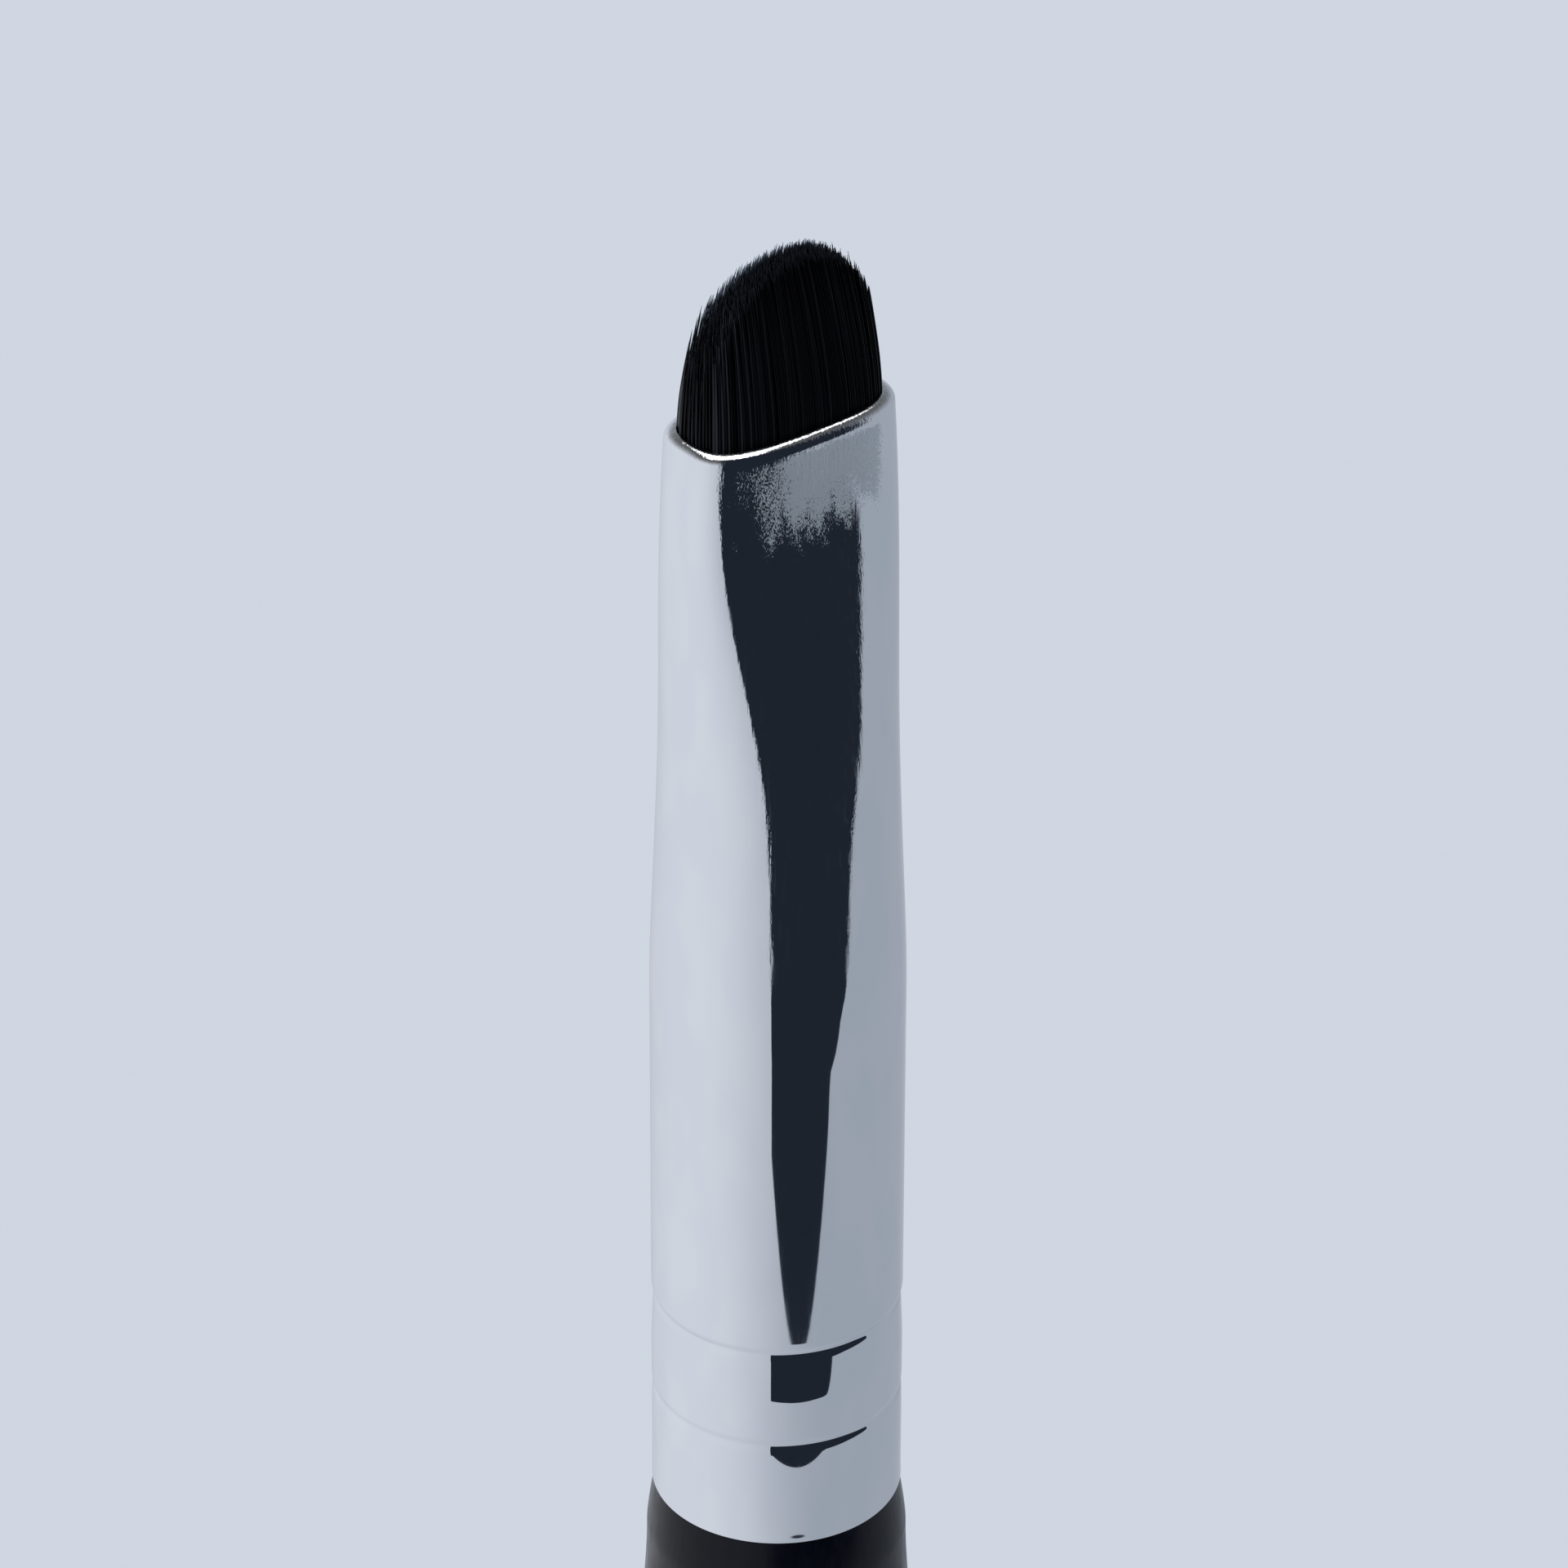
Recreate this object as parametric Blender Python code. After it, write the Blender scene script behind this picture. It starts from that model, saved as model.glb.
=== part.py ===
"""Flat oval brush for nail work, standing upright on its butt with the bristles up.

Turned wooden handle, drawn metal ferrule crimped on the handle's tenon and flattened at its mouth,
and a bundle of fine filaments set in resin inside the ferrule. Z runs along the brush, X along the
wide side of the flattened mouth, Y through its thin side. The origin is the middle of the butt end.
"""

import math

import bmesh
import bpy
from mathutils import Vector

MM = 0.001
GAP = 0.3 * MM  # between neighbouring solids that touch on the real brush

# Handle: turned wood, thickest a little below the ferrule.
HANDLE_LENGTH = 134.0 * MM  # from the butt to the shoulder that meets the ferrule
HANDLE_RADIUS = 4.15 * MM
SWELL_BELOW_SHOULDER = 26.0 * MM
SHOULDER_RADIUS = 3.27 * MM
TAPER_RADIUS = 3.4 * MM  # partway up the long taper
TAPER_HEIGHT = 60.0 * MM
WAIST_RADIUS = 2.25 * MM  # slim stretch just above the butt
WAIST_HEIGHT = 9.0 * MM
TAIL_RADIUS = 2.05 * MM
BUTT_FLAT_RADIUS = 1.2 * MM
BUTT_ROUNDING = 1.9 * MM  # height over which the butt rounds into the handle
NECK = ((6.0 * MM, 3.68 * MM), (1.2 * MM, 3.4 * MM))  # (below the shoulder, radius)
SHOULDER_ROUNDING = 0.4 * MM
TENON_RADIUS = 2.08 * MM
TENON_LENGTH = 11.0 * MM
TENON_CHAMFER = 0.4 * MM
ADHESIVE_INSET = 0.8 * MM  # the glue ends this far inside both ends of the joint

# Ferrule: seamless tube, drawn narrower and flattened towards its mouth.
FERRULE_RADIUS = 3.25 * MM
FERRULE_WALL = 0.27 * MM
FERRULE_LENGTH = 31.7 * MM
CRIMP_HEIGHTS = (3.1 * MM, 5.95 * MM)
CRIMP_DEPTH = 0.09 * MM
CRIMP_HALF_WIDTH = 0.36 * MM
DRAWN_FROM = 16.3 * MM  # above the ferrule's lower edge, where it starts to narrow
FLATTENED_FROM = 21.9 * MM  # and where it starts to flatten
MOUTH_GIRTH_RADIUS = 2.53 * MM  # radius of the circle with the mouth's perimeter
MOUTH_HALF_THICKNESS = 1.62 * MM
MOUTH_EXPONENT = 3.0  # superellipse exponent of the mouth; 2 is an ellipse

# Bristles: filaments set in resin below, free above the ferrule's mouth.
BUNDLE_RADIUS = 1.85 * MM  # the round, bound end of the bundle
ROOTS_FROM = 16.6 * MM  # above the ferrule's lower edge
PLUG_FROM = 13.6 * MM
PLUG_TO = 19.2 * MM
THREAD_FROM = 19.8 * MM
THREAD_DIAMETER = 0.3 * MM
THREAD_TURNS = 6
TUFT_HALF_WIDTH = 2.45 * MM
TUFT_HALF_THICKNESS = 1.1 * MM
TIP_THINNING = 0.45  # thickness left at the tips, as a share of the thickness at the mouth
TIP_NARROWING = 0.9  # and the same for the width
TIP_SIDE_HEIGHT = 1.04 * MM  # mean height of the outermost tips above the mouth
TIP_SLANT = 0.58 * MM  # the toe side is this much higher than the mean, the heel side lower
TIP_CROWN = 2.99 * MM  # how far the middle tips stand above the outermost ones
TIP_EXPONENT = 2.17

# Joint: the free bristles bend about X, on an axis just above the mouth.
FLEX_AXIS_ABOVE_MOUTH = 0.8 * MM
DIP_TURN = math.radians(84)  # arc of the rounded underside on each side of the axis

FERRULE_Z = HANDLE_LENGTH + GAP
MOUTH_Z = FERRULE_Z + FERRULE_LENGTH
FLEX_Z = MOUTH_Z + FLEX_AXIS_ABOVE_MOUTH
BORE_RADIUS = FERRULE_RADIUS - FERRULE_WALL

ROUND_SIDES = 32
ROUNDING_STEPS = 5
GIRTH_SAMPLES = 180
SHARP_ANGLE = math.radians(35)


def smooth(t):
    """0 to 1 with level ends."""
    t = min(max(t, 0.0), 1.0)
    return t * t * (3 - 2 * t)


def mix(a, b, t):
    return a + (b - a) * t


def evenly(low, high, count):
    return [mix(low, high, i / count) for i in range(count + 1)]


def outline(half_x, half_y, exponent=2.0, sides=ROUND_SIDES):
    """Points of a superellipse, starting on +X and symmetric about both axes."""
    points = []
    for i in range(sides):
        c = math.cos(math.tau * i / sides)
        s = math.sin(math.tau * i / sides)
        x = half_x * math.copysign(abs(c) ** (2 / exponent), c)
        y = half_y * math.copysign(abs(s) ** (2 / exponent), s)
        points.append((x, y))
    return points


def girth(half_x, half_y, exponent):
    points = outline(half_x, half_y, exponent, GIRTH_SAMPLES)
    return sum(math.dist(points[i - 1], points[i]) for i in range(GIRTH_SAMPLES))


def half_width_for(wanted_girth, half_y, exponent):
    """The half width that gives a flattened tube its girth, found by halving an interval."""
    low = half_y
    high = wanted_girth / 2
    for _ in range(30):
        middle = (low + high) / 2
        if girth(middle, half_y, exponent) < wanted_girth:
            low = middle
        else:
            high = middle
    return (low + high) / 2


def crimp_dent(height):
    """Depth of the rolled crimps at this height above the ferrule's lower edge."""
    dent = 0.0
    for crimp in CRIMP_HEIGHTS:
        offset = abs(height - crimp) / CRIMP_HALF_WIDTH
        if offset < 1:
            dent += CRIMP_DEPTH * (1 + math.cos(math.pi * offset)) / 2
    return dent


def ferrule_section(height):
    """Half width, half thickness and exponent of the ferrule's outside at this height."""
    drawn = max(0.0, height - DRAWN_FROM) / (FERRULE_LENGTH - DRAWN_FROM)
    radius = mix(FERRULE_RADIUS, MOUTH_GIRTH_RADIUS, drawn) - crimp_dent(height)
    flat = smooth((height - FLATTENED_FROM) / (FERRULE_LENGTH - FLATTENED_FROM))
    if flat == 0:
        return radius, radius, 2.0
    half_y = mix(radius, MOUTH_HALF_THICKNESS, flat)
    exponent = mix(2.0, MOUTH_EXPONENT, flat)
    wanted = girth(radius, radius, 2.0)
    return half_width_for(wanted, half_y, exponent), half_y, exponent


def ferrule_ring(height, inset):
    half_x, half_y, exponent = ferrule_section(height)
    z = FERRULE_Z + height
    return [Vector((x, y, z)) for x, y in outline(half_x - inset, half_y - inset, exponent)]


def circle_ring(radius, z):
    return [Vector((x, y, z)) for x, y in outline(radius, radius)]


def through_points(points, steps):
    """A smooth curve through (z, radius) points, level at its first and last point."""
    slopes = [0.0]
    for before, after in zip(points, points[2:]):
        slopes.append((after[1] - before[1]) / (after[0] - before[0]))
    slopes.append(0.0)
    curve = [points[0]]
    for i in range(len(points) - 1):
        (z0, r0), (z1, r1) = points[i], points[i + 1]
        span = z1 - z0
        for step in range(1, steps + 1):
            t = step / steps
            radius = mix(r0, r1, smooth(t))
            radius += span * (t * (1 - t) ** 2 * slopes[i] - t * t * (1 - t) * slopes[i + 1])
            curve.append((mix(z0, z1, t), radius))
    return curve


def material(name, colour, roughness, metallic=0.0):
    made = bpy.data.materials.new(name)
    made.use_nodes = True
    shader = made.node_tree.nodes["Principled BSDF"]
    shader.inputs["Base Color"].default_value = (*colour, 1.0)
    shader.inputs["Roughness"].default_value = roughness
    shader.inputs["Metallic"].default_value = metallic
    return made


def mirror_pairs(ring):
    """Faces that close a ring straight across Y, between each point and its mirror image."""
    count = len(ring)
    faces = [(ring[0], ring[1], ring[-1])]
    for i in range(1, count // 2 - 1):
        faces.append((ring[i], ring[i + 1], ring[count - i - 1], ring[count - i]))
    faces.append((ring[count // 2 - 1], ring[count // 2], ring[count // 2 + 1]))
    return faces


def loft(name, rings, look, parent, ends="flat", origin=(0.0, 0.0, 0.0)):
    """One closed object through the rings. Ends are "flat", "across" Y, or "joined" to each other."""
    work = bmesh.new()
    start = Vector(origin)
    rows = [[work.verts.new(point - start) for point in ring] for ring in rings]
    pairs = list(zip(rows, rows[1:]))
    if ends == "joined":
        pairs.append((rows[-1], rows[0]))
    for lower, upper in pairs:
        for i in range(len(lower)):
            work.faces.new((lower[i - 1], lower[i], upper[i], upper[i - 1]))
    for cap in (rows[0], rows[-1]):
        if ends == "flat":
            work.faces.new(cap)
        if ends == "across":
            for face in mirror_pairs(cap):
                work.faces.new(face)
    bmesh.ops.recalc_face_normals(work, faces=work.faces)
    mesh = bpy.data.meshes.new(name)
    work.to_mesh(mesh)
    work.free()
    mesh.materials.append(look)
    mesh.shade_smooth()
    mesh.set_sharp_from_angle(angle=SHARP_ANGLE)
    made = bpy.data.objects.new(name, mesh)
    made.location = start
    made.parent = parent
    bpy.context.scene.collection.objects.link(made)
    return made


def empty(name, location=(0.0, 0.0, 0.0)):
    made = bpy.data.objects.new(name, None)
    made.empty_display_size = 5 * MM
    made.location = location
    bpy.context.scene.collection.objects.link(made)
    return made


def make_handle(parent):
    """Turned handle: flat on the butt's middle, slim tail, swell, shoulder and tenon."""
    profile = []
    for step in range(ROUNDING_STEPS):
        turn = math.radians(90) * step / ROUNDING_STEPS
        radius = mix(BUTT_FLAT_RADIUS, TAIL_RADIUS, math.sin(turn))
        profile.append((BUTT_ROUNDING * (1 - math.cos(turn)), radius))
    body = [
        (BUTT_ROUNDING, TAIL_RADIUS),
        (WAIST_HEIGHT, WAIST_RADIUS),
        (TAPER_HEIGHT, TAPER_RADIUS),
        (HANDLE_LENGTH - SWELL_BELOW_SHOULDER, HANDLE_RADIUS),
    ]
    body += [(HANDLE_LENGTH - below, radius) for below, radius in NECK]
    profile += through_points(body, 5)
    tenon_end = HANDLE_LENGTH + TENON_LENGTH
    profile.append((HANDLE_LENGTH - SHOULDER_ROUNDING, SHOULDER_RADIUS + SHOULDER_ROUNDING / 6))
    profile.append((HANDLE_LENGTH, SHOULDER_RADIUS))
    profile.append((HANDLE_LENGTH, TENON_RADIUS))
    profile.append((tenon_end - TENON_CHAMFER, TENON_RADIUS))
    profile.append((tenon_end, TENON_RADIUS - TENON_CHAMFER))
    rings = [circle_ring(radius, z) for z, radius in profile]
    look = material("black_lacquer", (0.012, 0.012, 0.014), 0.35)
    return loft("handle", rings, look, parent)


def make_tenon_adhesive(parent):
    """Sleeve of glue between the tenon and the ferrule."""
    low = FERRULE_Z + ADHESIVE_INSET
    high = HANDLE_LENGTH + TENON_LENGTH - ADHESIVE_INSET
    outer = BORE_RADIUS - GAP
    inner = TENON_RADIUS + GAP
    corners = ((outer, low), (outer, high), (inner, high), (inner, low))
    rings = [circle_ring(radius, z) for radius, z in corners]
    look = material("clear_glue", (0.62, 0.52, 0.32), 0.3)
    return loft("tenon_adhesive", rings, look, parent, ends="joined")


def make_ferrule(parent):
    """Drawn tube with two rolled crimps, a flattened mouth and a rounded lip."""
    heights = [0.0, CRIMP_HEIGHTS[0] / 2]
    for crimp in CRIMP_HEIGHTS:
        heights += evenly(crimp - CRIMP_HALF_WIDTH, crimp + CRIMP_HALF_WIDTH, 4)
    heights += [DRAWN_FROM, mix(DRAWN_FROM, FLATTENED_FROM, 0.5)]
    heights += evenly(FLATTENED_FROM, FERRULE_LENGTH - FERRULE_WALL / 2, 12)
    outside = [ferrule_ring(height, 0.0) for height in heights]
    inside = [ferrule_ring(height, FERRULE_WALL) for height in reversed(heights)]
    lip = []
    half_x, half_y, exponent = ferrule_section(FERRULE_LENGTH)
    for step in range(1, ROUNDING_STEPS):
        turn = math.pi * step / ROUNDING_STEPS
        inset = FERRULE_WALL * (1 - math.cos(turn)) / 2
        z = MOUTH_Z - FERRULE_WALL * (1 - math.sin(turn)) / 2
        points = outline(half_x - inset, half_y - inset, exponent)
        lip.append([Vector((x, y, z)) for x, y in points])
    look = material("chromed_brass", (0.82, 0.83, 0.86), 0.06, 1.0)
    return loft("ferrule", outside + lip + inside, look, parent, ends="joined")


def make_epoxy_plug(parent):
    """Resin cup that fills the ferrule and holds the lower ends of the filaments."""
    outside = evenly(PLUG_FROM, PLUG_TO, 3)
    rings = [ferrule_ring(height, FERRULE_WALL + GAP) for height in outside]
    socket = BUNDLE_RADIUS + GAP
    rings.append(circle_ring(socket, FERRULE_Z + PLUG_TO))
    rings.append(circle_ring(socket, FERRULE_Z + ROOTS_FROM - GAP))
    look = material("setting_resin", (0.55, 0.42, 0.2), 0.2)
    return loft("epoxy_plug", rings, look, parent)


def make_binding_thread(parent):
    """Turns of thread round the bundle, side by side, as one ribbed sleeve."""
    inner = BUNDLE_RADIUS + GAP
    half = THREAD_DIAMETER / 2
    rings = []
    for turn in range(THREAD_TURNS):
        middle = FERRULE_Z + THREAD_FROM + (2 * turn + 1) * half
        for degrees in (-60, 0, 60):
            lean = math.radians(degrees)
            radius = inner + half * (1 + math.cos(lean))
            rings.append(circle_ring(radius, middle + half * math.sin(lean)))
    top = FERRULE_Z + THREAD_FROM + THREAD_TURNS * THREAD_DIAMETER
    rings.append(circle_ring(inner, top))
    rings.append(circle_ring(inner, FERRULE_Z + THREAD_FROM))
    look = material("waxed_thread", (0.75, 0.72, 0.65), 0.8)
    return loft("binding_thread", rings, look, parent, ends="joined")


def make_bristle_roots(parent):
    """The bound bundle inside the ferrule: round in the resin, flat at the mouth."""
    top = FERRULE_LENGTH + FLEX_AXIS_ABOVE_MOUTH - TUFT_HALF_THICKNESS - GAP
    rings = [circle_ring(BUNDLE_RADIUS, FERRULE_Z + ROOTS_FROM)]
    widest_gap = ferrule_section(FLATTENED_FROM)[0] - FERRULE_WALL - BUNDLE_RADIUS
    for height in evenly(FLATTENED_FROM, top, 8):
        share = (height - FLATTENED_FROM) / (top - FLATTENED_FROM)
        rings.append(ferrule_ring(height, FERRULE_WALL + mix(widest_gap, GAP, share)))
    look = material("filament_roots", (0.015, 0.015, 0.018), 0.5)
    return loft("bristle_roots", rings, look, parent)


def tip_height(across):
    """Height of the tips above the mouth, across the width from -1 (heel) to 1 (toe)."""
    crown = (1 - abs(across) ** TIP_EXPONENT) ** (1 / TIP_EXPONENT)
    return TIP_SIDE_HEIGHT + TIP_SLANT * across + TIP_CROWN * crown


def make_bristle_tuft(parent):
    """The free bristles as one solid, rounded about the flex axis where it meets the mouth."""
    base = outline(TUFT_HALF_WIDTH, TUFT_HALF_THICKNESS, MOUTH_EXPONENT)
    rings = []
    for step in range(ROUNDING_STEPS, 0, -1):
        turn = DIP_TURN * step / ROUNDING_STEPS
        z = FLEX_Z - TUFT_HALF_THICKNESS * math.sin(turn)
        rings.append([Vector((x, y * math.cos(turn), z)) for x, y in base])
    tallest = tip_height(0.0) - FLEX_AXIS_ABOVE_MOUTH
    for share in evenly(0.0, 1.0, 7):
        ring = []
        for x, y in base:
            rise = share * max(tip_height(x / TUFT_HALF_WIDTH) - FLEX_AXIS_ABOVE_MOUTH, 0.1 * MM)
            lean = (rise / tallest) ** 1.5
            narrow = mix(1.0, TIP_NARROWING, lean)
            thin = mix(1.0, TIP_THINNING, lean)
            ring.append(Vector((x * narrow, y * thin, FLEX_Z + rise)))
        rings.append(ring)
    look = material("black_filaments", (0.01, 0.01, 0.012), 0.45)
    return loft("bristle_tuft", rings, look, parent, ends="across", origin=(0.0, 0.0, FLEX_Z))


def build():
    for old in list(bpy.data.objects):
        bpy.data.objects.remove(old, do_unlink=True)
    brush = empty("brush")
    make_handle(brush)
    make_tenon_adhesive(brush)
    make_ferrule(brush)
    make_epoxy_plug(brush)
    make_binding_thread(brush)
    make_bristle_roots(brush)
    make_bristle_tuft(None)


build()
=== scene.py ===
"""Looks of the flat oval nail brush, built round its CAD frame.

The chromed ferrule, the lacquered handle and the single filaments are fine meshes that stand for
plainer CAD solids. The pieces hidden inside the ferrule keep their CAD shape. Lengths are in metres,
and those of the brush are written as a number of MM; the materials read places in millimetres. Z runs
up the brush, X along the wide side of the mouth, Y through it.
"""

import math

import bpy
import numpy as np
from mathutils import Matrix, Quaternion, Vector


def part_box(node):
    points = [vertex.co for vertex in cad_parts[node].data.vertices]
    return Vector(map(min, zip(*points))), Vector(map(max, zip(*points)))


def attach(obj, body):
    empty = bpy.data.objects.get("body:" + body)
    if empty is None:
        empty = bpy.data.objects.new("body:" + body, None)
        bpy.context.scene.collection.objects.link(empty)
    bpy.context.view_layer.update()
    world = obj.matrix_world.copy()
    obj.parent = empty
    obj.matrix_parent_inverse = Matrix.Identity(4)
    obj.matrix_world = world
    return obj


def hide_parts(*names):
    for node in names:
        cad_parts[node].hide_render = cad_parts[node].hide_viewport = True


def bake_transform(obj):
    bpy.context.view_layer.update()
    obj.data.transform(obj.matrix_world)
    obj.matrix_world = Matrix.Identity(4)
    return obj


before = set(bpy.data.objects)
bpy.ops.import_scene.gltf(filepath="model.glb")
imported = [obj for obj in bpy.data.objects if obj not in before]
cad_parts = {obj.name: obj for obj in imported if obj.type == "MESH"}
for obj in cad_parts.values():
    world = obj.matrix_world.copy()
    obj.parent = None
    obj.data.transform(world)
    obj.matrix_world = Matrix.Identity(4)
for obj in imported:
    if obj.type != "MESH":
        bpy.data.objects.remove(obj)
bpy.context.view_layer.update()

MM = 0.001
ROOT_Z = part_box("bristle_roots")[1].z
FERRULE_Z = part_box("ferrule")[0].z
MOUTH_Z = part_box("ferrule")[1].z
FERRULE_LENGTH = MOUTH_Z - FERRULE_Z

# Camera, relative to the mouth of the ferrule.
CAMERA_TURN = math.radians(38.6)  # to the left of the broad side
CAMERA_RISE = math.radians(31.41)
CAMERA_DISTANCE = 200 * MM
CAMERA_LENS = 184.9
AIM_BELOW_MOUTH = 10.64 * MM
AIM_RIGHT = 0.135 * MM
CAMERA_ROLL = math.radians(0.2)
CAMERA_NEAREST = 1 * MM

# Ferrule, with the CAD model's dimensions.
FERRULE_RADIUS = 3.25 * MM
FERRULE_WALL = 0.27 * MM
CRIMP_HEIGHTS = (3.1 * MM, 5.95 * MM)
DRAWN_FROM = 16.3 * MM
FLATTENED_FROM = 21.9 * MM
MOUTH_GIRTH_RADIUS = 2.53 * MM
MOUTH_HALF_THICKNESS = 1.62 * MM
MOUTH_EXPONENT = 3.0
# Ferrule details finer than the CAD model, whose crimps are wider and deeper.
CRIMP_DEPTH = 0.033 * MM
CRIMP_HALF_WIDTH = 0.22 * MM
# Metal pulled in below each crimp: how deep, over what length, and how steeply it starts.
CRIMP_DRAGS = ((0.021 * MM, 0.95 * MM, 2.0), (0.056 * MM, 1.45 * MM, 1.1))
DRAG_ABOVE = 0.3 * MM
DRAG_ABOVE_POWER = 2
DRAWING_EASE = 1.5 * MM
SHOULDER_SWELL = 0.012 * MM  # just below where the drawing starts
SHOULDER_SWELL_DROP = 0.6 * MM
SHOULDER_SWELL_REACH = 1.6 * MM
EDGE_FLARE = 0.008 * MM
EDGE_FLARE_REACH = 0.3 * MM
ROUND_UP_TO = DRAWN_FROM - 1 * MM
FLATTENING_EASE = 0.32
LIP_ROUNDING = 0.28 * MM  # the mouth's edge curls in over this much width and height
LIP_THICKNESS = 0.04 * MM
LIP_BACK_DEPTH = 0.5 * MM  # behind the lip, the inside reaches the wall's thickness at this depth
EDGE_ROUNDING = 0.06 * MM
EDGE_ROUNDING_TURN = 75  # degrees
# Rings along the ferrule; most stretches share their first ring with the one before.
RING_SIDES = 256
CRIMPS_END = CRIMP_HEIGHTS[1] + 1.6 * MM
EDGE_RINGS = 6
CRIMP_RINGS = 170
STRAIGHT_RINGS = 20
DRAWN_RINGS = 110
LIP_CURL_RINGS = 19
LIP_END_RINGS = 7
LIP_BACK_RINGS = 5
INSIDE_FIRST = 4  # the inside takes every sixth of the outer heights, from the fifth one down
INSIDE_EVERY = 6
GIRTH_HALVINGS = 30

# Handle, with the CAD model's dimensions below the shoulder and inside the ferrule.
HANDLE_LENGTH = 134.0 * MM
HANDLE_RADIUS = 4.15 * MM
SWELL_BELOW_SHOULDER = 26.0 * MM
TAPER_RADIUS = 3.4 * MM
TAPER_HEIGHT = 60.0 * MM
WAIST_RADIUS = 2.25 * MM
WAIST_HEIGHT = 9.0 * MM
TAIL_RADIUS = 2.05 * MM
BUTT_FLAT_RADIUS = 1.2 * MM
BUTT_ROUNDING = 1.9 * MM
NECK = ((6.0 * MM, 3.68 * MM), (1.2 * MM, 3.4 * MM))
TENON_RADIUS = 2.08 * MM
TENON_LENGTH = 11.0 * MM
TENON_CHAMFER = 0.4 * MM
# The shoulder comes up to the ferrule here, where the CAD model leaves a gap.
SHOULDER_RADIUS = 3.2 * MM
SHOULDER_WIDENING = 0.2 * MM
SHOULDER_POWER = 1.3
SHOULDER_GAP = 0.03 * MM
TENON_FILLET = 0.1 * MM
BUTT_RINGS = 25
BODY_STEPS = 28
SHOULDER_RINGS = 17
SHARP_ANGLE = math.radians(50)

# Filaments.
SEED = 7
FILAMENT_RADIUS = 0.039 * MM
FILAMENT_PITCH = 0.0865 * MM
FILAMENT_SIDES = 6
FILAMENT_RINGS = 15
RING_SPREAD = 0.85  # under 1, the rings lie closer together towards the tip
PLACE_SCATTER = 0.09  # share of the pitch
BUNDLE_HALF_WIDTH = 2.745 * MM
BUNDLE_HALF_THICKNESS = 1.3 * MM
# The tuft's outline, nearer to the photo than the CAD model's: a crown a little higher on the toe side.
TIP_THINNING = 0.3
TIP_NARROWING = 0.89
TIP_SIDE_HEIGHT = 1.04 * MM
TIP_SLANT = 0.26 * MM
TIP_CROWN = 3.1 * MM
TIP_EXPONENT = 2.27
LEAN_POWER = 1.5
MIDDLE_ROW_RISE = 0.05 * MM
OUTER_ROW_FALL = 0.1 * MM
TIP_SCATTER = 0.07 * MM
# Each filament's own shape.
TIP_TAPER = 1.6 * MM
TIP_RADIUS_SHARE = 0.13
TAPER_POWER = 0.75
TIP_WANDER = 0.02 * MM
WANDER_POWER = 2
# Clumps of neighbours, drawn together late on their way up.
CLUMP_SIZE = 2.3 * FILAMENT_PITCH
CLUMP_SCATTER = 0.12
CLUMP_PULL = (0.05, 0.4)
CLUMP_POWER = 3
# Tones: most filaments are dark, at random; the paler ones on the heel side are a painted highlight, and
# the pale tips at the back a painted backlight.
TONE_POWER = 6
# Shares of the random tone from the toe side to the heel side; the heel's larger share is a painted
# highlight.
HEEL_SHEEN_SHARES = (0.15, 2.0)
HEEL_SHEEN_MIDDLE = 0.1
# Painted backlight on the tips, from this depth towards the back and over this much of it.
TIP_BACKLIGHT_FROM = 0.2
TIP_BACKLIGHT_OVER = 0.6
TUFT_PIECES = 4


def smooth(t):
    t = np.clip(t, 0.0, 1.0)
    return t * t * (3 - 2 * t)


def mix(a, b, t):
    return a + (b - a) * t


# ---------------------------------------------------------------- shader helpers


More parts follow.
